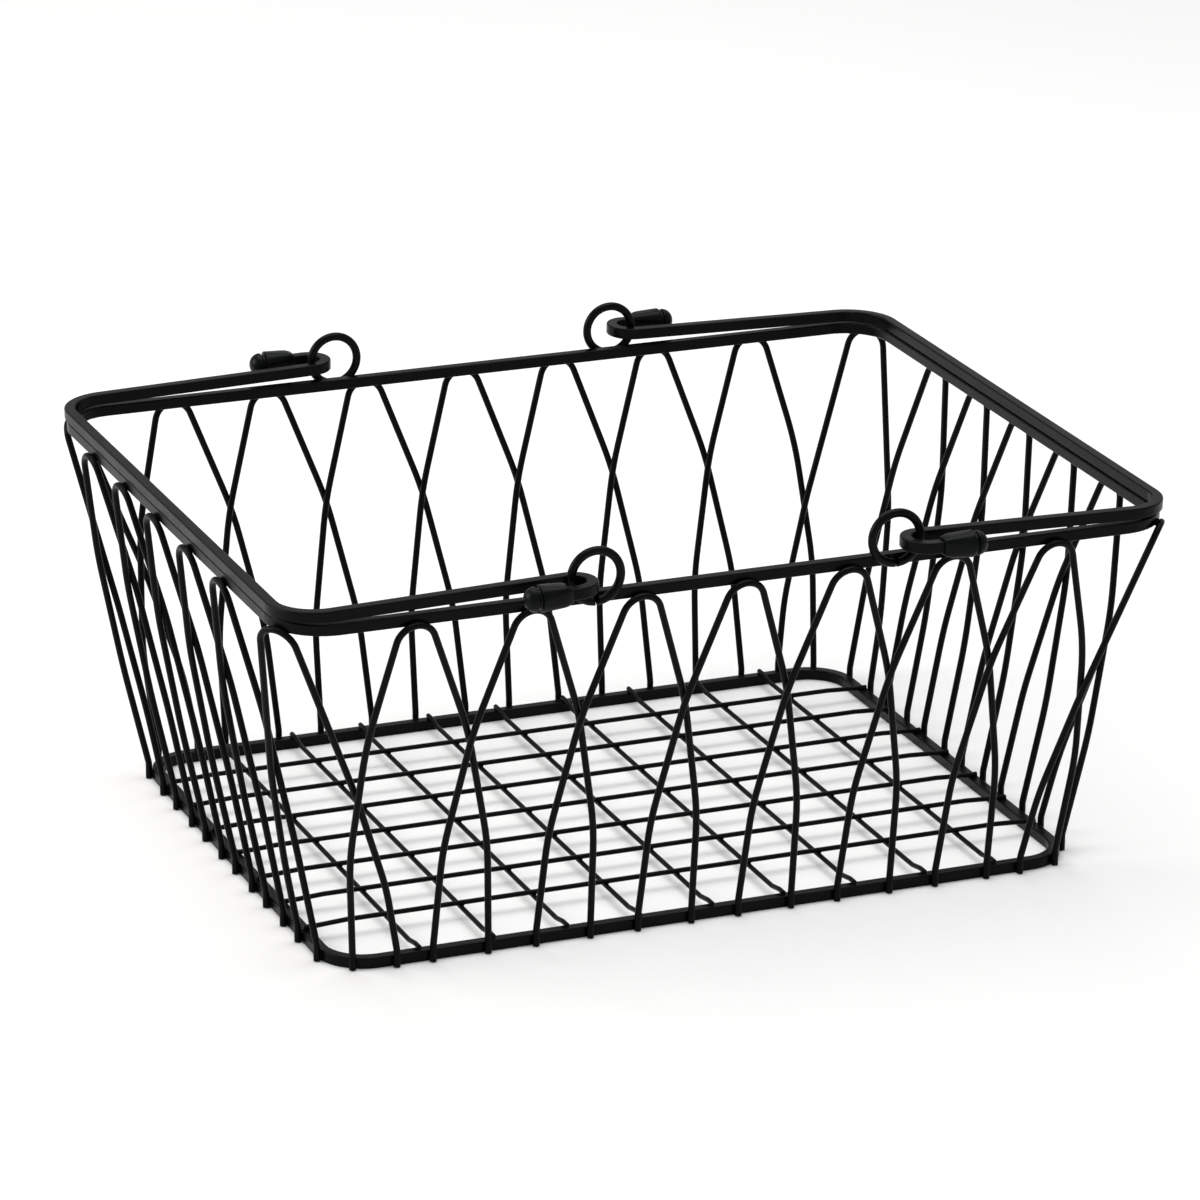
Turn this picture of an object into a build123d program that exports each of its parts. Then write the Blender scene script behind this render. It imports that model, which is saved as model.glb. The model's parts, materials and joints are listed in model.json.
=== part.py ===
from build123d import *
import math
import os

# Wire shopping basket with two drop handles.
# Millimetres. The origin is the middle of the base frame on the floor, +X runs
# along the long sides, +Y across, +Z up.

# Square bar and round wires
BAR = 5.0
BAR_EDGE = 0.7
WALL_WIRE = 3.0
FLOOR_WIRE = 2.2
RING_WIRE = 3.8
WELD_GAP = 0.05
CROWN_GAP = 0.3

# Base frame, standing on the floor
BASE_LENGTH = 350.0
BASE_WIDTH = 261.0
BASE_CORNER = 22.0

# Top rim, larger than the base so that the walls splay outwards
RIM_LENGTH = 409.0
RIM_WIDTH = 316.0
RIM_CORNER = 25.0
RIM_TOP = 167.5

# Wall hairpins: 7 on each long side, 5 on each short side, 1 on each corner
LONG_SIDE_PINS = 7
SHORT_SIDE_PINS = 5
CROWN_PITCH_LONG = 48.0
CROWN_PITCH_SHORT = 44.5
FOOT_PITCH_LONG = 47.0
FOOT_PITCH_SHORT = 41.0
FOOT_REACH_LONG = 36.0
FOOT_REACH_SHORT = 31.6
LAST_FULL_STEP = 130.0
CROWDING = 0.745
CROWN_RADIUS = 9.0
CROWN_HEIGHT = RIM_TOP - BAR + 0.9
ANKLE_HEIGHT = 7.5
FOOT_HEIGHT = 0.4

# Shape of a hairpin leg, as shares of its height and of its sideways spread:
# height and spread at the crossing with the next leg, then height and spread at the shin.
SIDE_SHAPE = (0.66, 0.667, 0.30, 0.955)
CORNER_SHAPE = (0.50, 0.60, 0.20, 0.90)

# Where two legs cross, one passes outside the wall surface and the other inside it
CROSS_OFFSET = 1.66
CORNER_LONG_OFFSET = (1.4, -2.95)
CORNER_SHORT_OFFSET = (2.25, -2.15)

# Bending and welding by hand leave the loops a little uneven: how far along the rim each
# crown stands from its even place, and how much of that its feet share.
FRONT_LEANS = (-4.0, 0.0, 1.0, 0.0, 0.0, 0.0, 1.0)
RIGHT_LEANS = (-2.0, -1.0, 0.0, 0.0, 0.0)
BACK_LEANS = (3.0, 5.5, 6.0, 6.0, 6.0, 5.5, 3.5)
LEFT_LEANS = (-10.0, -10.0, -10.0, -10.0, -10.0)
CORNER_LEANS = (0.0, 0.0, 0.0, -9.0)
BACK_FOOT_SHARE = 0.5

# Floor grid
CROSS_WIRES = 9
CROSS_PITCH = 33.8
LONG_WIRES = 7
LONG_PITCH = 30.3
CROSS_WIRE_DIP = 1.45
CROSS_WIRE_CRANK = 8.0
LONG_WIRE_CRANK = 14.0

# Rings that carry the handles
RING_X = 68.5
RING_HEIGHT = 175.2
RING_RADIUS = 11.1
RING_SPLIT = 0.1
RING_PINCH = 1.6

# Handles: flat bent square bar, hooked through the rings, tipped with vinyl caps.
# Each handle turns about a line through its two hooks.
HANDLE_X = 72.0
HANDLE_HEIGHT = 173.6
HANDLE_REACH = 130.5
HANDLE_WIDTH = 315.0
HANDLE_CORNER = 22.0
HANDLE_TILT = 1.4
HOOK_WIDTH = 16.8
HOOK_RADIUS = 8.3
TAIL_END = 26.5
CAP_START = 12.5
CAP_LENGTH = 21.0
CAP_DIAMETER = 12.0
CAP_MOUTH = 10.2
CAP_FIT = 0.06


def outline_point(length, width, corner, walk):
    """Point and outward direction on a rounded rectangle, walking from the middle
    of the front side towards the right-hand end."""
    long_run = length / 2 - corner
    short_run = width / 2 - corner
    turn = corner * math.pi / 2
    lap = 4 * (long_run + short_run) + 4 * turn
    rest = walk % lap
    runs = [long_run, turn, 2 * short_run, turn, 2 * long_run, turn, 2 * short_run, turn, long_run]
    x, y, heading = 0.0, -width / 2, 0.0
    for number, run in enumerate(runs):
        step = min(rest, run)
        if number % 2 == 0:
            x += step * math.cos(heading)
            y += step * math.sin(heading)
        else:
            swing = step / corner
            centre_x = x - corner * math.sin(heading)
            centre_y = y + corner * math.cos(heading)
            heading += swing
            x = centre_x + corner * math.sin(heading)
            y = centre_y - corner * math.cos(heading)
        rest -= step
        if rest <= 0:
            break
    return x, y, math.sin(heading), -math.cos(heading)


def wall_point(foot_walk, crown_walk, share, offset):
    """Point of the wall between ankle height (share 0) and crown height (share 1)."""
    bx, by, bnx, bny = outline_point(BASE_LENGTH, BASE_WIDTH, BASE_CORNER, foot_walk)
    rx, ry, rnx, rny = outline_point(RIM_LENGTH, RIM_WIDTH, RIM_CORNER, crown_walk)
    foot = WALL_WIRE / 2 + WELD_GAP
    top = WALL_WIRE / 2 + CROWN_GAP
    low = (bx + foot * bnx, by + foot * bny, ANKLE_HEIGHT)
    high = (rx + top * rnx, ry + top * rny, CROWN_HEIGHT)
    x, y, z = [a + (b - a) * share for a, b in zip(low, high)]
    size = math.hypot(bnx + rnx, bny + rny)
    return (x + offset * (bnx + rnx) / size, y + offset * (bny + rny) / size, z)


def leg_points(middle, foot, shape, offset):
    """Foot, ankle, shin and crossing of one hairpin leg, from the floor upwards.
    middle and foot are pairs: walk on the base and walk on the rim above it."""
    cross_height, cross_spread, shin_height, shin_spread = shape
    low, high = [], []
    for share in (1.0, shin_spread, cross_spread):
        low.append(middle[0] + share * (foot[0] - middle[0]))
        high.append(middle[1] + share * (foot[1] - middle[1]))
    ankle = wall_point(low[0], high[0], 0, 0)
    floor_end = (ankle[0], ankle[1], FOOT_HEIGHT)
    shin = wall_point(low[1], high[1], shin_height, offset * shin_height / cross_height)
    cross = wall_point(low[2], high[2], cross_height, offset)
    return [floor_end, ankle, shin, cross]


def hairpin_points(middle, left, right, shape, offsets):
    """Corner points of one hairpin from its left foot over the crown to its right foot.
    The left leg passes outside the leg it crosses, the right leg passes inside. The
    apex stands where the two legs would meet if the crown were not rounded."""
    up = leg_points(middle, left, shape, offsets[0])
    down = leg_points(middle, right, shape, offsets[1])
    crown = wall_point(middle[0], middle[1], 1, 0)
    centre = [(a + b) / 2 for a, b in zip(up[-1], down[-1])]
    spread = math.dist(up[-1], down[-1]) / 2
    depth = math.dist(crown, centre)
    reach = math.hypot(spread, depth - CROWN_RADIUS)
    lean = math.atan2(spread, depth - CROWN_RADIUS) - math.asin(CROWN_RADIUS / reach)
    rise = CROWN_RADIUS / math.sin(lean) - CROWN_RADIUS
    apex = tuple(a + (a - b) * rise / depth for a, b in zip(crown, centre))
    return up + [apex] + down[::-1]


def foot_walk(step):
    """Walk to a foot; the last feet before a corner stand closer together."""
    size = abs(step)
    if size > LAST_FULL_STEP:
        size = LAST_FULL_STEP + (size - LAST_FULL_STEP) * CROWDING
    return math.copysign(size, step)


def corner_walk(length, corner):
    """Walk from the middle of the front to the middle of the corner bend."""
    return length / 2 - corner + corner * math.pi / 4


def side_walk(length, width, corner):
    """Walk from the middle of a long side to the middle of the next short side."""
    return (length + width) / 2 - 2 * corner + corner * math.pi / 2


def side_hairpins(side, quarter, foot_pitch, crown_pitch, reach, leans, foot_share):
    """Hairpins of one side, left to right as seen from outside the basket."""
    low = quarter * side_walk(BASE_LENGTH, BASE_WIDTH, BASE_CORNER)
    high = quarter * side_walk(RIM_LENGTH, RIM_WIDTH, RIM_CORNER)
    plan = []
    for number, lean in enumerate(leans):
        place = number - (len(leans) - 1) / 2
        spots = []
        for shift in (0, -reach, reach):
            step = foot_pitch * place + shift
            foot = low + foot_walk(step) + lean * foot_share
            spots.append((foot, high + step * crown_pitch / foot_pitch + lean))
        points = hairpin_points(*spots, SIDE_SHAPE, (CROSS_OFFSET, -CROSS_OFFSET))
        plan.append((f"hairpin_{side}_{number + 1}", points))
    return plan


def corner_hairpins():
    """Hairpins with their crowns on the corner bends, one leg on each side."""
    base_quarter = side_walk(BASE_LENGTH, BASE_WIDTH, BASE_CORNER)
    rim_quarter = side_walk(RIM_LENGTH, RIM_WIDTH, RIM_CORNER)
    base_bend = corner_walk(BASE_LENGTH, BASE_CORNER)
    rim_bend = corner_walk(RIM_LENGTH, RIM_CORNER)
    long_step = FOOT_PITCH_LONG * (LONG_SIDE_PINS + 1) / 2 - FOOT_REACH_LONG
    short_step = FOOT_PITCH_SHORT * (SHORT_SIDE_PINS + 1) / 2 - FOOT_REACH_SHORT
    long_foot = (foot_walk(long_step), long_step * CROWN_PITCH_LONG / FOOT_PITCH_LONG)
    short_foot = (short_step, short_step * CROWN_PITCH_SHORT / FOOT_PITCH_SHORT)
    plan = []
    for number in range(4):
        low, high = number * base_quarter, number * rim_quarter
        if number % 2 == 0:
            middle = (low + base_bend, high + rim_bend)
            before, after = long_foot, short_foot
            offsets = (CORNER_LONG_OFFSET[0], CORNER_SHORT_OFFSET[1])
        else:
            middle = (low + base_quarter - base_bend, high + rim_quarter - rim_bend)
            before, after = short_foot, long_foot
            offsets = (CORNER_SHORT_OFFSET[0], CORNER_LONG_OFFSET[1])
        lean = CORNER_LEANS[number]
        middle = (middle[0], middle[1] + lean)
        left = (low + before[0], high + before[1] + lean)
        right = (low + base_quarter - after[0], high + rim_quarter - after[1] + lean)
        points = hairpin_points(middle, left, right, CORNER_SHAPE, offsets)
        plan.append((f"hairpin_corner_{number + 1}", points))
    return plan


def hairpin_plan():
    """Name and corner points of every hairpin of the wall."""
    long_side = (FOOT_PITCH_LONG, CROWN_PITCH_LONG, FOOT_REACH_LONG)
    short_side = (FOOT_PITCH_SHORT, CROWN_PITCH_SHORT, FOOT_REACH_SHORT)
    plan = side_hairpins("front", 0, *long_side, FRONT_LEANS, 0)
    plan += side_hairpins("right", 1, *short_side, RIGHT_LEANS, 0)
    plan += side_hairpins("back", 2, *long_side, BACK_LEANS, BACK_FOOT_SHARE)
    plan += side_hairpins("left", 3, *short_side, LEFT_LEANS, 0)
    return plan + corner_hairpins()


# SOLIDS
def bar_frame(length, width, corner, bottom):
    """Closed rounded rectangle bent from square bar."""
    outline = RectangleRounded(length, width, corner)
    hole = RectangleRounded(length - 2 * BAR, width - 2 * BAR, corner - BAR)
    frame = extrude(Plane.XY.offset(bottom) * (outline - hole), BAR)
    long_edges = frame.edges().group_by(Axis.Z)[0] + frame.edges().group_by(Axis.Z)[-1]
    return fillet(long_edges, BAR_EDGE)


def round_wire(points, radii, diameter):
    """Round wire bent along straight runs with the given bend radii."""
    path = FilletPolyline(points, radius=radii)
    start = Vector(*points[0])
    section = Plane(origin=start, z_dir=Vector(*points[1]) - start) * Circle(diameter / 2)
    return sweep(section, path=path)


def cross_wire(x):
    """Floor wire across the basket: its ends lie on the long bars of the base, and
    between the bars it dips a little to pass below the long wires."""
    end = BASE_WIDTH / 2 - 1.5
    knee = BASE_WIDTH / 2 - BAR - 1
    high = BAR + FLOOR_WIRE / 2 + WELD_GAP
    low = high - CROSS_WIRE_DIP
    half = [(knee - CROSS_WIRE_CRANK, low), (knee, high), (end, high)]
    points = [(x, -y, z) for y, z in half[::-1]] + [(x, y, z) for y, z in half]
    return round_wire(points, [6, 6, 6, 6], FLOOR_WIRE)


def long_wire(y):
    """Floor wire along the basket: over the cross wires, with both ends a little lower
    on the short bars of the base."""
    end = BASE_LENGTH / 2 - 1.2
    low = BAR + FLOOR_WIRE / 2 + WELD_GAP
    high = low - CROSS_WIRE_DIP + FLOOR_WIRE + WELD_GAP
    knee = BASE_LENGTH / 2 - BAR - 2
    half = [(knee - LONG_WIRE_CRANK, y, high), (knee, y, low), (end, y, low)]
    points = [(-x, y, z) for x, y, z in half[::-1]] + half
    return round_wire(points, [6, 6, 6, 6], FLOOR_WIRE)


def hairpin(points):
    """Inverted U of wall wire: two feet on the base, the crown on the rim."""
    bends = [8, 150, 150, CROWN_RADIUS, 150, 150, 8]
    return round_wire(points, bends, WALL_WIRE)


def split_ring(side_x, side_y):
    """Ring of round wire in an upright plane against the outer face of the rim. Its
    ends meet at the bottom, pinched off at a slant so that they touch outside only."""
    y = side_y * (RIM_WIDTH / 2 + RING_WIRE / 2 + WELD_GAP)
    upright = Plane(origin=(side_x * RING_X, y, RING_HEIGHT), x_dir=(1, 0, 0), z_dir=(0, -1, 0))
    ring = upright * Torus(RING_RADIUS, RING_WIRE / 2)
    low = -RING_RADIUS - RING_WIRE
    high = -RING_RADIUS + RING_WIRE
    corners = [(-RING_SPLIT, low), (RING_SPLIT, low), (RING_PINCH, high), (-RING_PINCH, high)]
    cut = Polygon(*corners, align=None)
    return ring - extrude(upright * cut, RING_WIRE, both=True)


def handle_plane(side):
    """Plane of a resting handle: its origin on the turning axis, x towards the cross-bar."""
    tilt = math.radians(HANDLE_TILT)
    out = (side * math.cos(tilt), 0, -math.sin(tilt))
    normal = (side * math.sin(tilt), 0, math.cos(tilt))
    return Plane(origin=(side * HANDLE_X, 0, HANDLE_HEIGHT), x_dir=out, z_dir=normal)


def handle(side):
    """U-shaped handle: cross-bar, two arms, and a hook with a short tail on each arm."""
    arm = HANDLE_WIDTH / 2 - BAR / 2
    tail = arm + HOOK_WIDTH
    half = [(TAIL_END, tail), (0, tail), (0, arm), (HANDLE_REACH, arm)]
    points = half + [(x, -y) for x, y in half[::-1]]
    bend = HANDLE_CORNER - BAR / 2
    radii = [HOOK_RADIUS, HOOK_RADIUS, bend, bend, HOOK_RADIUS, HOOK_RADIUS]
    plane = handle_plane(side)
    path = plane * FilletPolyline(points, radius=radii)
    start = plane.from_local_coords(Vector(TAIL_END, tail, 0))
    section = Plane(origin=start, x_dir=plane.z_dir, z_dir=-plane.x_dir)
    return sweep(section * RectangleRounded(BAR, BAR, BAR_EDGE), path=path)


def end_cap(side, end):
    """Bullet-shaped vinyl cap: tapered sleeve, shallow groove and domed nose, with a
    square pocket for the tail of the handle."""
    plane = handle_plane(side)
    tail = end * (HANDLE_WIDTH / 2 - BAR / 2 + HOOK_WIDTH)
    mouth = CAP_MOUTH / 2
    nose = CAP_DIAMETER / 2
    shoulder = CAP_LENGTH - nose
    sleeve = [(0, 0), (0, mouth - 0.7), (1.2, mouth), (shoulder - 0.9, nose)]
    dome = Polyline(*sleeve, (shoulder - 0.4, nose - 0.4))
    dome += Line((shoulder - 0.4, nose - 0.4), (shoulder, nose - 0.1))
    rise = (nose - 0.1) * math.sin(math.pi / 4)
    dome += ThreePointArc((shoulder, nose - 0.1), (shoulder + rise, rise), (CAP_LENGTH - 0.1, 0))
    dome += Line((CAP_LENGTH - 0.1, 0), (0, 0))
    body = revolve(make_face(dome), Axis.X)
    pocket_size = BAR + 2 * CAP_FIT
    pocket_depth = TAIL_END - CAP_START + CAP_FIT
    pocket = extrude(Plane.YZ * RectangleRounded(pocket_size, pocket_size, BAR_EDGE), pocket_depth)
    return plane * Pos(CAP_START, tail, 0) * (body - pocket)


def save(name, shape):
    """Write one piece as its own STEP file."""
    solid = shape.solids()
    if len(solid) != 1:
        raise ValueError(f"{name}: {len(solid)} solids")
    export_step(solid[0], f"parts/{name}.step")
    print(name, round(solid[0].volume, 1), "mm3")


os.makedirs("parts", exist_ok=True)
save("base_frame", bar_frame(BASE_LENGTH, BASE_WIDTH, BASE_CORNER, 0))
save("top_rim", bar_frame(RIM_LENGTH, RIM_WIDTH, RIM_CORNER, RIM_TOP - BAR))
for number in range(CROSS_WIRES):
    place = number - (CROSS_WIRES - 1) / 2
    save(f"floor_cross_wire_{number + 1}", cross_wire(place * CROSS_PITCH))
for number in range(LONG_WIRES):
    place = number - (LONG_WIRES - 1) / 2
    save(f"floor_long_wire_{number + 1}", long_wire(place * LONG_PITCH))
for name, points in hairpin_plan():
    save(name, hairpin(points))
for side_name, side in (("left", -1), ("right", 1)):
    save(f"handle_{side_name}", handle(side))
    for end_name, end in (("front", -1), ("back", 1)):
        save(f"ring_{end_name}_{side_name}", split_ring(side, end))
        save(f"end_cap_{end_name}_{side_name}", end_cap(side, end))
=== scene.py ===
# %% [markdown]
# A wire shopping basket with two folding handles, black all over.
# The steel parts are already drawn in the CAD model, true to size. This script gives them their
# finish and adds what a drawing leaves out: the small welds that hold the wires together, and the
# soft vinyl caps on the ends of the handles.
# The first cell loads the CAD model.

# %% Load the basket
import json
import math

import bmesh
import bpy
import numpy as np
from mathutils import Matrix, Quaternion, Vector


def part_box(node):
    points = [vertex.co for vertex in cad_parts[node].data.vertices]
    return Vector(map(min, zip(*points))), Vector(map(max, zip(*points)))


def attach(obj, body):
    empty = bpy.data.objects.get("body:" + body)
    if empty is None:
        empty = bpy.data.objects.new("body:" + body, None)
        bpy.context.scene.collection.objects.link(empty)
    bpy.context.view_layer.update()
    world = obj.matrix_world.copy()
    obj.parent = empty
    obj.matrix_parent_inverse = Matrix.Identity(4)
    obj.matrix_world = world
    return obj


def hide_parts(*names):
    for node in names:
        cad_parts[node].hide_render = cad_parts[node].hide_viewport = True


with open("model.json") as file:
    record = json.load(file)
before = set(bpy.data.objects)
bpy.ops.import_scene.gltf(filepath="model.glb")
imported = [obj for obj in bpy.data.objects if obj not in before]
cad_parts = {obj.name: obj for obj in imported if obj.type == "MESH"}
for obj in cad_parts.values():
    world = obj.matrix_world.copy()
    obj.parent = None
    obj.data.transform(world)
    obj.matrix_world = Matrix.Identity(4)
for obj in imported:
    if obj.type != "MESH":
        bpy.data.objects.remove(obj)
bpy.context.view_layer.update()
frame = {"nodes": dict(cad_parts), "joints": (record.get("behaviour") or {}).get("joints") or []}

nodes = frame["nodes"]

# %% [markdown]
# Some sizes are needed again and again: the bar and the wires. We read them from the pieces
# themselves instead of typing them, so the welds still fit if the basket changes.
# The base frame lies flat on the floor, so its height is the thickness of its bar.
# A floor wire runs straight across, so its width is its diameter. The foot of a hairpin stands
# upright, so the lowest points on its left half are as far apart as the wall wire is thick.

# %% Measure the bar and the wires
def corners(name):
    """Lowest and highest corner of one piece, in metres."""
    low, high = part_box(name)
    return Vector(low), Vector(high)


base_low, base_high = corners("base_frame")
rim_high = corners("top_rim")[1]
BAR = base_high.z - base_low.z
wire_low, wire_high = corners("floor_cross_wire_1")
FLOOR_WIRE = wire_high.x - wire_low.x


def mesh_points(name):
    """All vertices of a CAD piece."""
    mesh = nodes[name].data
    values = np.empty(len(mesh.vertices) * 3, np.float32)
    mesh.vertices.foreach_get("co", values)
    return values.reshape(-1, 3).astype(float)


FOOT_SLICE = 0.001
pin = mesh_points("hairpin_front_4")
feet = pin[pin[:, 2] < pin[:, 2].min() + FOOT_SLICE]
left_foot = feet[feet[:, 0] < feet[:, 0].mean()]
WALL_WIRE = left_foot[:, 0].max() - left_foot[:, 0].min()
print(f"bar {BAR * 1000:.2f}, floor wire {FLOOR_WIRE * 1000:.2f}, wall wire {WALL_WIRE * 1000:.2f} mm")

# %% [markdown]
# The pieces have numbered names, such as hairpin_front_1, so the first words of a name are enough
# to collect all pieces of one kind.

# %% Collect the pieces by kind
def piece_names(start):
    """Names of all CAD pieces that begin with the given words."""
    return sorted(name for name in nodes if name.startswith(start))


hairpins = piece_names("hairpin_")
cross_wires = piece_names("floor_cross_wire_")
long_wires = piece_names("floor_long_wire_")
rings = piece_names("ring_")
caps = piece_names("end_cap_")
print(len(hairpins), "hairpins,", len(cross_wires), "cross wires,", len(long_wires), "long wires")

# %% [markdown]
# Every material and every tree below is made of nodes. A handful of short functions add a node,
# set its values and link it, so that the cells that follow read almost like a recipe.
# Wherever a value can be a number or the output of another node, the function takes either.

# %% Short functions for node trees
def add_node(tree, kind, **settings):
    """New node of one kind with some of its properties set."""
    node = tree.nodes.new(kind)
    for key, value in settings.items():
        setattr(node, key, value)
    return node


def group_socket(tree, name, direction, kind):
    """Named input or output of a node group."""
    return tree.interface.new_socket(name, in_out=direction, socket_type="NodeSocket" + kind)


def noise(tree, position, scale, detail):
    """Noise texture at a position, with a scale that may come from another node."""
    node = add_node(tree, "ShaderNodeTexNoise")
    node.inputs["Detail"].default_value = detail
    tree.links.new(position, node.inputs["Vector"])
    if isinstance(scale, (int, float)):
        node.inputs["Scale"].default_value = scale
    else:
        tree.links.new(scale, node.inputs["Scale"])
    return node.outputs["Fac"]


def remap(tree, value, low, high, to_low, to_high):
    """Spread a value from low..high to another range. The new ends may be sockets."""
    node = add_node(tree, "ShaderNodeMapRange")
    tree.links.new(value, node.inputs["Value"])
    for name, end in (("From Min", low), ("From Max", high), ("To Min", to_low), ("To Max", to_high)):
        if isinstance(end, (int, float)):
            node.inputs[name].default_value = end
        else:
            tree.links.new(end, node.inputs[name])
    return node.outputs["Result"]


def calculate(tree, operation, first, second):
    """Math node with two inputs, each a socket or a number."""
    node = add_node(tree, "ShaderNodeMath", operation=operation)
    for place, value in enumerate((first, second)):
        if isinstance(value, (int, float)):
            node.inputs[place].default_value = value
        else:
            tree.links.new(value, node.inputs[place])
    return node.outputs[0]


def blend_colours(tree, factor, first, second):
    """Mix node for two colours."""
    node = add_node(tree, "ShaderNodeMix", data_type="RGBA")
    tree.links.new(factor, node.inputs[0])
    for place, colour in ((6, first), (7, second)):
        if isinstance(colour, tuple):
            node.inputs[place].default_value = (*colour, 1)
        else:
            tree.links.new(colour, node.inputs[place])
    return node.outputs[2]

print("six functions for node trees")

# %% [markdown]
# Powder coat is plastic dust that is sprayed on and baked. It flows a little before it sets, which
# leaves a faint ripple that painters call orange peel, and patches that are a shade glossier than
# others. Moulded vinyl has the same two things at other sizes: a soft grain and a mottled bloom.
# So both come from one shader node group with named inputs. It gives a colour, a roughness and a
# height. The shader itself stays outside, in each material.

# %% Shader group: a coated surface
coat_group = bpy.data.node_groups.new("coated_surface", "ShaderNodeTree")
for name, kind in (
    ("Position", "Vector"), ("Deep Colour", "Color"), ("Pale Colour", "Color"), ("Patch Scale", "Float"),
    ("Glossiest", "Float"), ("Dullest", "Float"), ("Ripple Scale", "Float"), ("Grain Share", "Float"),
):
    group_socket(coat_group, name, "INPUT", kind)
for name, kind in (("Colour", "Color"), ("Roughness", "Float"), ("Height", "Float")):
    group_socket(coat_group, name, "OUTPUT", kind)

given = add_node(coat_group, "NodeGroupInput").outputs
result = add_node(coat_group, "NodeGroupOutput").inputs
PATCH_RANGE = (0.35, 0.65)
GRAIN_TIMES_FINER = 6
patches = noise(coat_group, given["Position"], given["Patch Scale"], 3)
patch_mask = remap(coat_group, patches, *PATCH_RANGE, 0, 1)
colour = blend_colours(coat_group, patch_mask, given["Deep Colour"], given["Pale Colour"])
coat_group.links.new(colour, result["Colour"])
roughness = remap(coat_group, patches, *PATCH_RANGE, given["Glossiest"], given["Dullest"])
coat_group.links.new(roughness, result["Roughness"])
ripple = noise(coat_group, given["Position"], given["Ripple Scale"], 1)
grain_scale = calculate(coat_group, "MULTIPLY", given["Ripple Scale"], GRAIN_TIMES_FINER)
grain = noise(coat_group, given["Position"], grain_scale, 2)
grain_part = calculate(coat_group, "MULTIPLY", grain, given["Grain Share"])
height = calculate(coat_group, "ADD", ripple, grain_part)
coat_group.links.new(height, result["Height"])
print("group", coat_group.name, "has", len(coat_group.nodes), "nodes")

# %% [markdown]
# Dust settles on whatever faces up, in uneven specks. On black it shows at once, even on a new
# basket. The group compares the direction that the surface faces with straight up, and breaks the
# result up with noise. It puts out one mask, and each material decides how much of it to use.

# %% Shader group: settled dust
STEEPEST = 0.55  # dust lies where the upward share of the facing direction is larger than this
dust_group = bpy.data.node_groups.new("settled_dust", "ShaderNodeTree")
for name, kind in (
    ("Position", "Vector"), ("Facing", "Vector"), ("Amount", "Float"), ("Speck Scale", "Float"),
):
    group_socket(dust_group, name, "INPUT", kind)
group_socket(dust_group, "Mask", "OUTPUT", "Float")
given = add_node(dust_group, "NodeGroupInput").outputs
result = add_node(dust_group, "NodeGroupOutput").inputs
parts = add_node(dust_group, "ShaderNodeSeparateXYZ")
dust_group.links.new(given["Facing"], parts.inputs[0])
upward = remap(dust_group, parts.outputs["Z"], STEEPEST, 1.0, 0, 1)
specks = noise(dust_group, given["Position"], given["Speck Scale"], 4)
speck_mask = remap(dust_group, specks, 0.4, 0.7, 0.25, 1)
lying = calculate(dust_group, "MULTIPLY", upward, speck_mask)
mask = calculate(dust_group, "MULTIPLY", lying, given["Amount"])
dust_group.links.new(mask, result["Mask"])
print("group", dust_group.name, "has", len(dust_group.nodes), "nodes")

# %% [markdown]
# One function now makes every finish. A finish is a short list of numbers: two near-blacks, how
# glossy the patches are, how big the ripple is, how deep it is and how much dust it carries.
# Numbers that are the same all over, such as the strength of the reflection, are set straight on
# the Principled shader.

# %% One function for all finishes
DUST_COLOUR = (0.10, 0.10, 0.10)
DUST_SPECKS = 260
DUST_DULLS = 0.6


def make_finish(name, deep, pale, patch, gloss, ripple, grain, depth, dust, reflection):
    """Material from the two groups. Scales are counts per metre, the depth is in metres."""
    material = bpy.data.materials.new(name)
    material.use_nodes = True
    tree = material.node_tree
    shader = tree.nodes["Principled BSDF"]
    place = add_node(tree, "ShaderNodeTexCoord")
    coat = add_node(tree, "ShaderNodeGroup", node_tree=coat_group)
    tree.links.new(place.outputs["Object"], coat.inputs["Position"])
    coat.inputs["Deep Colour"].default_value = (*deep, 1)
    coat.inputs["Pale Colour"].default_value = (*pale, 1)
    coat.inputs["Patch Scale"].default_value = patch
    coat.inputs["Glossiest"].default_value = gloss[0]
    coat.inputs["Dullest"].default_value = gloss[1]
    coat.inputs["Ripple Scale"].default_value = ripple
    coat.inputs["Grain Share"].default_value = grain
    dusty = add_node(tree, "ShaderNodeGroup", node_tree=dust_group)
    tree.links.new(place.outputs["Object"], dusty.inputs["Position"])
    tree.links.new(place.outputs["Normal"], dusty.inputs["Facing"])
    dusty.inputs["Amount"].default_value = dust
    dusty.inputs["Speck Scale"].default_value = DUST_SPECKS
    colour = blend_colours(tree, dusty.outputs["Mask"], coat.outputs["Colour"], DUST_COLOUR)
    tree.links.new(colour, shader.inputs["Base Color"])
    dull = calculate(tree, "MULTIPLY", dusty.outputs["Mask"], DUST_DULLS)
    rough = calculate(tree, "ADD", coat.outputs["Roughness"], dull)
    tree.links.new(rough, shader.inputs["Roughness"])
    bump = add_node(tree, "ShaderNodeBump")
    bump.inputs["Strength"].default_value = 1
    bump.inputs["Distance"].default_value = depth
    tree.links.new(coat.outputs["Height"], bump.inputs["Height"])
    tree.links.new(bump.outputs["Normal"], shader.inputs["Normal"])
    shader.inputs["Specular IOR Level"].default_value = reflection
    return material


# %% [markdown]
# The steel has one colour but not one look. The flat bars show the ripple best. The thin wires
# take a thinner, more even coat. The hooks rub on the rings, which are a little smoother for it,
# and a weld is lumpy and dull. The caps are soft vinyl, a colder black with a mottled bloom.

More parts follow.
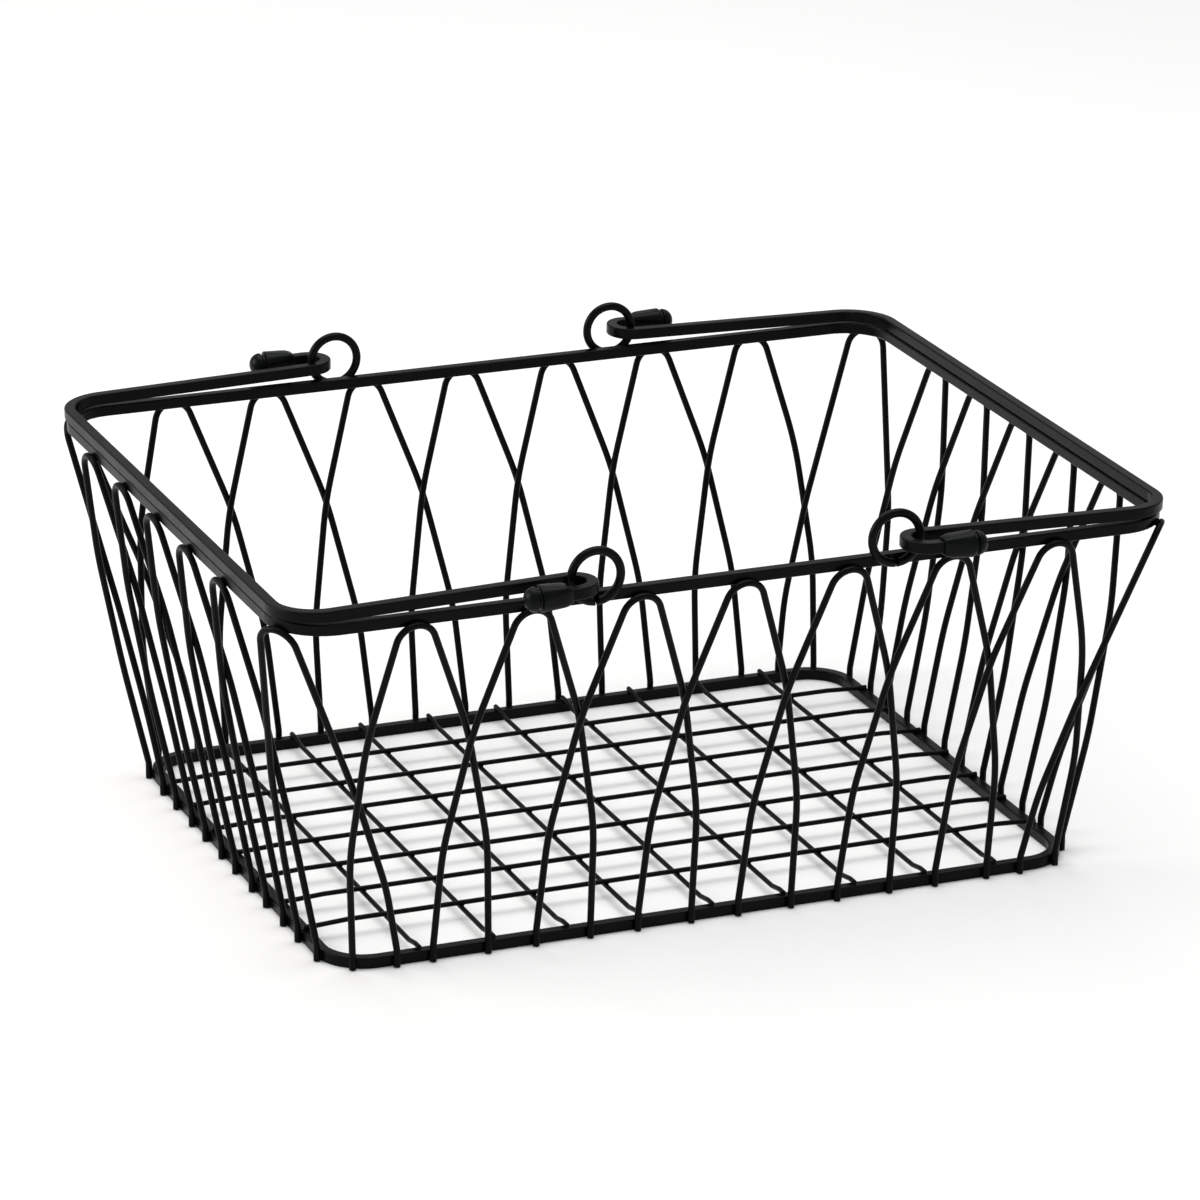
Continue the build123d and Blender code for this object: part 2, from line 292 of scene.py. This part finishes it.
# %% Make the five finishes
BLACK = (0.0007, 0.0007, 0.0008)
WORN_BLACK = (0.0020, 0.0019, 0.0018)
COLD_BLACK = (0.0003, 0.0006, 0.0008)
BLOOM = (0.0012, 0.0021, 0.0026)
bar_coat = make_finish(
    "bar_powder_coat", BLACK, WORN_BLACK, patch=45, gloss=(0.27, 0.35), ripple=420,
    grain=0.25, depth=0.00005, dust=0.03, reflection=0.08)
wire_coat = make_finish(
    "wire_powder_coat", BLACK, WORN_BLACK, patch=70, gloss=(0.30, 0.38), ripple=700,
    grain=0.25, depth=0.00003, dust=0.03, reflection=0.075)
ring_coat = make_finish(
    "rubbed_powder_coat", BLACK, WORN_BLACK, patch=90, gloss=(0.24, 0.34), ripple=600,
    grain=0.20, depth=0.00003, dust=0.02, reflection=0.09)
weld_coat = make_finish(
    "weld_powder_coat", BLACK, WORN_BLACK, patch=300, gloss=(0.36, 0.50), ripple=1500,
    grain=0.40, depth=0.00006, dust=0.03, reflection=0.05)
cap_vinyl = make_finish(
    "cap_vinyl", COLD_BLACK, BLOOM, patch=260, gloss=(0.22, 0.36), ripple=900,
    grain=0.50, depth=0.00004, dust=0.02, reflection=0.10)
print([material.name for material in (bar_coat, wire_coat, ring_coat, weld_coat, cap_vinyl)])

# %% [markdown]
# A CAD piece keeps its shape and only changes its finish: we put the new material in each of its
# material slots.

# %% Dress the steel pieces
def dress(names, material):
    """Give the named CAD pieces a finish."""
    for name in names:
        for slot in nodes[name].material_slots:
            slot.material = material
    print(material.name, "on", len(names), "pieces")


dress(["base_frame", "top_rim", "handle_left", "handle_right"], bar_coat)
dress(hairpins + cross_wires + long_wires, wire_coat)
dress(rings, ring_coat)

# %% [markdown]
# Every wire of the basket is held by a small electric weld: the two parts are pressed together and
# a current melts the spot where they touch. The metal squeezed out leaves a low rounded nugget,
# which the coat then covers. There are far too many to place by hand, and they all look much the
# same, so this is work for Geometry Nodes: one small shape, copied to a list of points.
# Each point carries three things that the tree reads: which way the nugget faces, which way it is
# long, and its three half-sizes. The tree turns, scales and roughens each copy, with a fixed seed
# so that it comes out the same each time.

# %% Geometry Nodes tree: weld nuggets
weld_tree = bpy.data.node_groups.new("weld_nuggets", "GeometryNodeTree")
group_socket(weld_tree, "Geometry", "INPUT", "Geometry")
group_socket(weld_tree, "Size Variation", "INPUT", "Float")
group_socket(weld_tree, "Roughness", "INPUT", "Float")
group_socket(weld_tree, "Seed", "INPUT", "Int")
group_socket(weld_tree, "Material", "INPUT", "Material")
group_socket(weld_tree, "Geometry", "OUTPUT", "Geometry")

given = add_node(weld_tree, "NodeGroupInput").outputs
result = add_node(weld_tree, "NodeGroupOutput").inputs


def point_value(name):
    """Read a vector that each point carries."""
    node = add_node(weld_tree, "GeometryNodeInputNamedAttribute", data_type="FLOAT_VECTOR")
    node.inputs["Name"].default_value = name
    return node.outputs["Attribute"]


def connect(output, node, name):
    """Link an output to a named input."""
    weld_tree.links.new(output, node.inputs[name])


ball = add_node(weld_tree, "GeometryNodeMeshUVSphere")
ball.inputs["Segments"].default_value = 10
ball.inputs["Rings"].default_value = 6
ball.inputs["Radius"].default_value = 1
face_out = add_node(weld_tree, "FunctionNodeAlignRotationToVector", axis="Z")
connect(point_value("facing"), face_out, "Vector")
turn_long = add_node(weld_tree, "FunctionNodeAlignRotationToVector", axis="X", pivot_axis="Z")
connect(face_out.outputs["Rotation"], turn_long, "Rotation")
connect(point_value("along"), turn_long, "Vector")
print("each nugget is a ball of 10 by 6 faces, turned to its wire")

# %% [markdown]
# No two welds come out equally large. A random number for each point, a little below or above 1,
# scales its nugget. The Random Value node has sockets for several kinds of number under the same
# names, so we pick the ones that take a plain value.

# %% A size for each nugget, and the copies
chance = add_node(weld_tree, "FunctionNodeRandomValue", data_type="FLOAT")
smallest = calculate(weld_tree, "SUBTRACT", 1, given["Size Variation"])
largest = calculate(weld_tree, "ADD", 1, given["Size Variation"])
float_inputs = [socket for socket in chance.inputs if socket.type == "VALUE"]
weld_tree.links.new(smallest, float_inputs[0])
weld_tree.links.new(largest, float_inputs[1])
connect(given["Seed"], chance, "Seed")
chance_out = [socket for socket in chance.outputs if socket.type == "VALUE"][0]
sized = add_node(weld_tree, "ShaderNodeVectorMath", operation="SCALE")
weld_tree.links.new(point_value("half_size"), sized.inputs[0])
weld_tree.links.new(chance_out, sized.inputs["Scale"])

copies = add_node(weld_tree, "GeometryNodeInstanceOnPoints")
connect(given["Geometry"], copies, "Points")
connect(ball.outputs["Mesh"], copies, "Instance")
connect(turn_long.outputs["Rotation"], copies, "Rotation")
connect(sized.outputs["Vector"], copies, "Scale")
solid = add_node(weld_tree, "GeometryNodeRealizeInstances")
connect(copies.outputs["Instances"], solid, "Geometry")
print("tree has", len(weld_tree.nodes), "nodes so far")

# %% [markdown]
# Last, noise pushes the surface in and out along its own direction, so a nugget looks squeezed out
# and not turned on a lathe. Half is taken off the noise, so that as much goes in as out. Then the
# tree smooths the shading and sets the material.

# %% Lumps, shading and material
LUMP_SCALE = 900
position = add_node(weld_tree, "GeometryNodeInputPosition").outputs["Position"]
lumps = noise(weld_tree, position, LUMP_SCALE, 1)
centred = calculate(weld_tree, "SUBTRACT", lumps, 0.5)
strength = calculate(weld_tree, "MULTIPLY", centred, given["Roughness"])
push = add_node(weld_tree, "ShaderNodeVectorMath", operation="SCALE")
weld_tree.links.new(add_node(weld_tree, "GeometryNodeInputNormal").outputs["Normal"], push.inputs[0])
connect(strength, push, "Scale")
lumpy = add_node(weld_tree, "GeometryNodeSetPosition")
connect(solid.outputs["Geometry"], lumpy, "Geometry")
connect(push.outputs["Vector"], lumpy, "Offset")
smooth = add_node(weld_tree, "GeometryNodeSetShadeSmooth")
connect(lumpy.outputs["Geometry"], smooth, "Geometry")
finish = add_node(weld_tree, "GeometryNodeSetMaterial")
connect(smooth.outputs["Geometry"], finish, "Geometry")
connect(given["Material"], finish, "Material")
weld_tree.links.new(finish.outputs["Geometry"], result["Geometry"])
print("tree", weld_tree.name, "has", len(weld_tree.nodes), "nodes")

# %% [markdown]
# The next function turns a list of weld places into a finished mesh. The points become a mesh that
# has only vertices, the modifier grows a nugget on each one, and the result is saved as a plain
# mesh, because whoever opens the model later shouldn't need our tree.
# A modifier's input has an inner name, its identifier, and must be set by that.

# %% Grow nuggets on a list of points
def set_input(modifier, name, value):
    """Set a Geometry Nodes input by the name that the tree shows."""
    for item in modifier.node_group.interface.items_tree:
        if item.item_type == "SOCKET" and item.in_out == "INPUT" and item.name == name:
            modifier[item.identifier] = value


def grow_welds(name, welds, variation, roughness, seed):
    """Mesh object with one nugget for each (place, facing, along, half_size)."""
    seeds_mesh = bpy.data.meshes.new(name + "_points")
    seeds_mesh.from_pydata([weld[0] for weld in welds], [], [])
    for column, key in ((1, "facing"), (2, "along"), (3, "half_size")):
        values = seeds_mesh.attributes.new(key, "FLOAT_VECTOR", "POINT")
        values.data.foreach_set("vector", [number for weld in welds for number in weld[column]])
    maker = bpy.data.objects.new(name + "_maker", seeds_mesh)
    bpy.context.collection.objects.link(maker)
    modifier = maker.modifiers.new("nuggets", "NODES")
    modifier.node_group = weld_tree
    set_input(modifier, "Size Variation", variation)
    set_input(modifier, "Roughness", roughness)
    set_input(modifier, "Seed", seed)
    set_input(modifier, "Material", weld_coat)
    ready = maker.evaluated_get(bpy.context.evaluated_depsgraph_get())
    mesh = bpy.data.meshes.new_from_object(ready)
    mesh.name = name
    bpy.data.objects.remove(maker)
    piece = bpy.data.objects.new(name, mesh)
    bpy.context.collection.objects.link(piece)
    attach(piece, "basket")
    print(name, len(welds), "nuggets,", len(mesh.polygons), "faces")


# %% [markdown]
# The floor of the basket is a grid. The long wires lie on top of the cross wires, and each
# crossing is welded. The ends of the wires are welded on top of the base frame.
# A nugget at a crossing is nearly round and flat. One on the frame is long in the direction of its
# wire.

# %% Welds of the floor grid
UP = Vector((0, 0, 1))
CROSSING_NUGGET = (0.00115, 0.00115, 0.0005)  # half-sizes: along, across, out
WIRE_END_NUGGET = (0.0021, 0.00105, 0.0005)


def middle(name):
    """Centre of a piece's box."""
    low, high = corners(name)
    return (low + high) / 2


grid_welds = []
long_top = corners(long_wires[0])[1].z
contact = long_top - FLOOR_WIRE
for cross in cross_wires:
    for long in long_wires:
        place = Vector((middle(cross).x, middle(long).y, contact))
        grid_welds.append((place, UP, (1, 0, 0), CROSSING_NUGGET))
grow_welds("floor_grid_welds", grid_welds, variation=0.15, roughness=0.00025, seed=3)

end_welds = []
for cross in cross_wires:
    for side in (-1, 1):
        place = Vector((middle(cross).x, side * (base_high.y - BAR / 2), base_high.z))
        end_welds.append((place, UP, (0, 1, 0), WIRE_END_NUGGET))
for long in long_wires:
    for side in (-1, 1):
        place = Vector((side * (base_high.x - BAR / 2), middle(long).y, base_high.z))
        end_welds.append((place, UP, (1, 0, 0), WIRE_END_NUGGET))
grow_welds("floor_wire_end_welds", end_welds, variation=0.15, roughness=0.00025, seed=5)

# %% [markdown]
# A hairpin of the wall is welded in three places: its two feet on the outer side of the base
# frame, and its crown on the outer side of the rim. To find them we look at the hairpin's own
# points: the lowest ones are the feet, the highest ones the crown. The direction from the frame to
# the wire is square to a straight side, and turns evenly round a corner.

# %% Find the feet and the crown of a hairpin
FOOT_DEPTH = 0.004
CROWN_DEPTH = 0.0006


def outward(point, high, corner):
    """Direction that a rounded rectangle faces next to a point."""
    inner_x = high.x - corner
    inner_y = high.y - corner
    nearest = Vector((max(-inner_x, min(inner_x, point.x)), max(-inner_y, min(inner_y, point.y)), 0))
    return (Vector((point.x, point.y, 0)) - nearest).normalized()


def average(points):
    """Mean of an array of points, as a vector."""
    return Vector(points.mean(axis=0))


def feet_and_crown(name):
    """Centres of the two feet and of the crown of a hairpin."""
    points = mesh_points(name)
    low = points[points[:, 2] < points[:, 2].min() + FOOT_DEPTH]
    far = low[np.linalg.norm(low - low[0], axis=1).argmax()]
    near_first = np.linalg.norm(low - low[0], axis=1) < np.linalg.norm(low - far, axis=1)
    top = points[points[:, 2] > points[:, 2].max() - CROWN_DEPTH]
    return average(low[near_first]), average(low[~near_first]), average(top)


print("feet and crown of", hairpins[0], feet_and_crown(hairpins[0]))

# %% [markdown]
# The nuggets sit where the wire meets the bar: half a wire's thickness from the middle of the wire
# towards the frame. A foot's nugget is upright, like its wire. A crown's lies along the rim.

# %% Welds of the hairpins
BASE_CORNER = 0.022
RIM_CORNER = 0.025
FOOT_NUGGET = (0.0021, 0.00125, 0.0006)
CROWN_NUGGET = (0.0034, 0.0010, 0.0006)
foot_welds = []
crown_welds = []
for name in hairpins:
    first, second, crown = feet_and_crown(name)
    for foot in (first, second):
        facing = outward(foot, base_high, BASE_CORNER)
        place = foot - facing * (WALL_WIRE / 2)
        place.z = base_low.z + BAR * 0.5
        foot_welds.append((place, facing, UP, FOOT_NUGGET))
    facing = outward(crown, rim_high, RIM_CORNER)
    place = crown - facing * (WALL_WIRE / 2 + 0.0001)
    place.z = corners(name)[1].z - WALL_WIRE * 0.55
    crown_welds.append((place, facing, facing.cross(UP), CROWN_NUGGET))
grow_welds("hairpin_foot_welds", foot_welds, variation=0.18, roughness=0.0003, seed=7)
grow_welds("hairpin_crown_welds", crown_welds, variation=0.15, roughness=0.0003, seed=11)

# %% [markdown]
# Each of the four rings stands upright against the outside of the rim. Its lower arc is welded to
# the face of the bar, on both sides of the place where the ends of the ring meet.

# %% Welds of the rings
RING_NUGGET = (0.0021, 0.0016, 0.0008)
ring_welds = []
for name in rings:
    low, high = corners(name)
    centre = (low + high) / 2
    thick = high.y - low.y
    radius = (high.x - low.x) / 2 - thick / 2
    hub = high.z - thick / 2 - radius
    facing = Vector((0, math.copysign(1, centre.y), 0))
    for degrees in (-118, -104, -76, -62):  # -90 is the lowest point of the ring
        angle = math.radians(degrees)
        place = Vector((centre.x + radius * math.cos(angle), centre.y, hub + radius * math.sin(angle)))
        place = place - facing * (thick / 2)
        tangent = (-math.sin(angle), 0, math.cos(angle))
        ring_welds.append((place, facing, tangent, RING_NUGGET))
grow_welds("ring_welds", ring_welds, variation=0.12, roughness=0.0004, seed=13)

# %% [markdown]
# The end of each handle's hook has a cap of soft vinyl, so that nobody is scratched. It is a
# moulded sleeve with a domed nose and a groove between the two. It is round at the nose,
# but the square bar inside pushes the sleeve towards a rounded square, most at the mouth.
# We build it from rings of points. Each ring has a distance from the mouth, a half-width, and a
# power that says how square it is: 2 is a circle, and larger powers come nearer to a square.
# The rings run from inside the pocket, over the lip, along the sleeve and round the nose.

# %% Rings of the cap, in millimetres
NOSE_RADIUS = 5.4
NOSE_START = 15.8
CAP_END = 20.9
NOSE_BLUNTNESS = 0.92  # below 1, the nose is blunter than an ellipse
cap_rows = [
    (14.15, 0.0, 2), (14.15, 1.6, 8), (14.1, 2.5, 10), (13.6, 2.6, 10), (6.0, 2.6, 10), (0.5, 2.6, 10),
    (0.12, 2.75, 9), (0.0, 3.0, 8), (0.06, 3.3, 7), (0.4, 3.65, 6), (1.2, 4.0, 5),
    (2.4, 4.45, 4.4), (3.3, 4.72, 4.0), (5.5, 4.95, 3.6), (8.5, 5.2, 3.2), (11.2, 5.5, 2.7),
    (12.7, 5.72, 2.3), (13.3, 5.84, 2.1), (13.6, 5.88, 2.0), (13.85, 5.7, 2.0), (14.0, 5.1, 2.0),
    (14.15, 4.35, 2.0), (15.3, 4.25, 2.0), (15.5, 4.6, 2.0), (15.65, 5.1, 2.0),
]
NOSE_STEPS = 12
for step in range(NOSE_STEPS + 1):
    turn = math.radians(90 * step / NOSE_STEPS)
    along = NOSE_START + (CAP_END - NOSE_START) * math.sin(turn)
    half = NOSE_RADIUS * math.cos(turn) ** NOSE_BLUNTNESS if step < NOSE_STEPS else 0.0
    cap_rows.append((along, half, 2.0))
print(len(cap_rows), "rings from the pocket to the nose")

# %% [markdown]
# The cap follows the tail of its handle, which slopes down a little from the hinge to the
# cross-bar. We find that slope from the handle: how far the cross-bar is from the hinge, and how
# much lower it lies.

# %% Slope of the handles
hinges = {joint["child"]: joint for joint in frame["joints"]}


def handle_slope(body):
    """Slope of a handle and the side it points to, from its hinge and its cross-bar."""
    low, high = corners("handle_left" if body == "left_handle" else "handle_right")
    side = -1 if body == "left_handle" else 1
    hinge = Vector(hinges[body]["pos_m"])
    reach = (high.x if side > 0 else -low.x) - BAR / 2 - side * hinge.x
    drop = hinge.z - (low.z + BAR / 2)
    return side, math.atan2(drop, reach)


for body in ("left_handle", "right_handle"):
    print(body, "slopes by", round(math.degrees(handle_slope(body)[1]), 2), "degrees")

# %% [markdown]
# Each ring of the list becomes a row of points square to the tail, and faces join each row to the
# next. A row of size 0 is a single point, which closes the pocket and the nose. One level of
# subdivision rounds off what is left of the corners. The cap then takes the place of the CAD cap.

# %% Build a cap on each handle end
AROUND = 40
CAP_LENGTH = 21.0  # of the CAD cap; the nose ends a little short of it


def build_cap(name, body):
    """Vinyl cap in place of a CAD cap: same axis, same mouth, same nose."""
    side, slope = handle_slope(body)
    out = Vector((side * math.cos(slope), 0, -math.sin(slope)))
    rise = Vector((side * math.sin(slope), 0, math.cos(slope)))
    across = Vector((0, 1, 0))
    mouth = middle(name) - out * (CAP_LENGTH / 2 / 1000)
    shape = bmesh.new()
    rows = []
    for along, half, power in cap_rows:
        origin = mouth + out * (along / 1000)
        if half == 0:
            rows.append([shape.verts.new(origin)])
            continue
        row = []
        for place in range(AROUND):
            angle = 2 * math.pi * place / AROUND
            c, s = math.cos(angle), math.sin(angle)
            reach = half / 1000 / (abs(c) ** power + abs(s) ** power) ** (1 / power)
            row.append(shape.verts.new(origin + (across * c + rise * s) * reach))
        rows.append(row)
    for row, following in zip(rows, rows[1:]):
        for place in range(AROUND):
            after = (place + 1) % AROUND
            if len(row) == 1:
                shape.faces.new((row[0], following[after], following[place]))
            elif len(following) == 1:
                shape.faces.new((row[place], row[after], following[0]))
            else:
                shape.faces.new((row[place], row[after], following[after], following[place]))
    bmesh.ops.recalc_face_normals(shape, faces=shape.faces)
    mesh = bpy.data.meshes.new(name + "_moulded")
    shape.to_mesh(mesh)
    shape.free()
    mesh.shade_smooth()
    mesh.materials.append(cap_vinyl)
    piece = bpy.data.objects.new(name + "_moulded", mesh)
    bpy.context.collection.objects.link(piece)
    smoother = piece.modifiers.new("smooth", "SUBSURF")
    smoother.levels = 1
    smoother.render_levels = 1
    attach(piece, body)
    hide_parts(name)
    print(piece.name, "has", len(mesh.polygons), "faces before the subdivision")


for name in caps:
    build_cap(name, "left_handle" if name.endswith("left") else "right_handle")

# %% [markdown]
# The basket stands on a plain, nearly white floor that runs on far behind it, so no edge shows. A
# studio floor is painted, never perfectly even, so it has a very faint variation.

# %% Floor
FLOOR_HALF = 14
floor_corners = [(x * FLOOR_HALF, y * FLOOR_HALF, 0) for x, y in ((-1, -1), (1, -1), (1, 1), (-1, 1))]
floor_mesh = bpy.data.meshes.new("studio_floor")
floor_mesh.from_pydata(floor_corners, [], [(0, 1, 2, 3)])
floor = bpy.data.objects.new("studio_floor", floor_mesh)
bpy.context.collection.objects.link(floor)
floor_paint = bpy.data.materials.new("floor_paint")
floor_paint.use_nodes = True
tree = floor_paint.node_tree
shader = tree.nodes["Principled BSDF"]
place = add_node(tree, "ShaderNodeTexCoord")
cloud = noise(tree, place.outputs["Object"], 3, 2)
tint = blend_colours(tree, cloud, (0.92, 0.92, 0.92), (0.94, 0.94, 0.94))
tree.links.new(tint, shader.inputs["Base Color"])
shader.inputs["Roughness"].default_value = 0.9
shader.inputs["Specular IOR Level"].default_value = 0.1
floor_mesh.materials.append(floor_paint)
print("floor", FLOOR_HALF * 2, "m square")

# %% [markdown]
# The light is that of a bright product studio: a wide soft box above, another from the left that
# draws a line along the bars' left sides, and an even pale surround that fills the shadows.
# The sizes matter more than the powers: a large lamp gives a soft edge to every shadow.

# %% Light
LIT_POINT = (0, 0, 0.1)


def soft_box(name, place, width, height, power, colour):
    """Rectangular lamp that looks at the basket. The power is in watts."""
    data = bpy.data.lights.new(name, "AREA")
    data.shape = "RECTANGLE"
    data.size = width
    data.size_y = height
    data.energy = power
    data.color = colour
    lamp = bpy.data.objects.new(name, data)
    bpy.context.collection.objects.link(lamp)
    lamp.location = place
    aim = Vector(place) - Vector(LIT_POINT)
    lamp.rotation_euler = aim.to_track_quat("Z", "Y").to_euler()


soft_box("top_box", (0.2, 0.4, 2.6), width=2.6, height=2.2, power=42, colour=(1, 1, 1))
soft_box("left_box", (-2.6, 0.9, 1.3), width=1.8, height=1.6, power=46, colour=(1, 0.96, 0.92))
world = bpy.data.worlds.new("studio")
bpy.context.scene.world = world
world.use_nodes = True
surround = world.node_tree.nodes["Background"]
surround.inputs["Color"].default_value = (1, 1, 1, 1)
surround.inputs["Strength"].default_value = 0.55
bpy.context.scene.view_settings.view_transform = "Standard"
print("two soft boxes and a pale surround")

# %% [markdown]
# The camera stands in front, a little to the left and above, far away with a long lens, so the
# sides of the basket stay nearly parallel.

# %% Camera
AIM = Vector((0.0118, 0.0302, 0.0908))
TURN = math.radians(-22.41)
RISE = math.radians(19.67)
ROLL = math.radians(0.57)
DISTANCE = 2.70
LENS = 179.4
camera_data = bpy.data.cameras.new("camera")
camera_data.lens = LENS
camera_data.clip_end = 60
camera = bpy.data.objects.new("camera", camera_data)
bpy.context.collection.objects.link(camera)
back = Vector((math.sin(TURN) * math.cos(RISE), -math.cos(TURN) * math.cos(RISE), math.sin(RISE)))
camera.location = AIM + back * DISTANCE
turned = back.to_track_quat("Z", "Y") @ Quaternion((0, 0, 1), ROLL)
camera.rotation_euler = turned.to_euler()
bpy.context.scene.camera = camera
print("camera at", [round(value, 3) for value in camera.location])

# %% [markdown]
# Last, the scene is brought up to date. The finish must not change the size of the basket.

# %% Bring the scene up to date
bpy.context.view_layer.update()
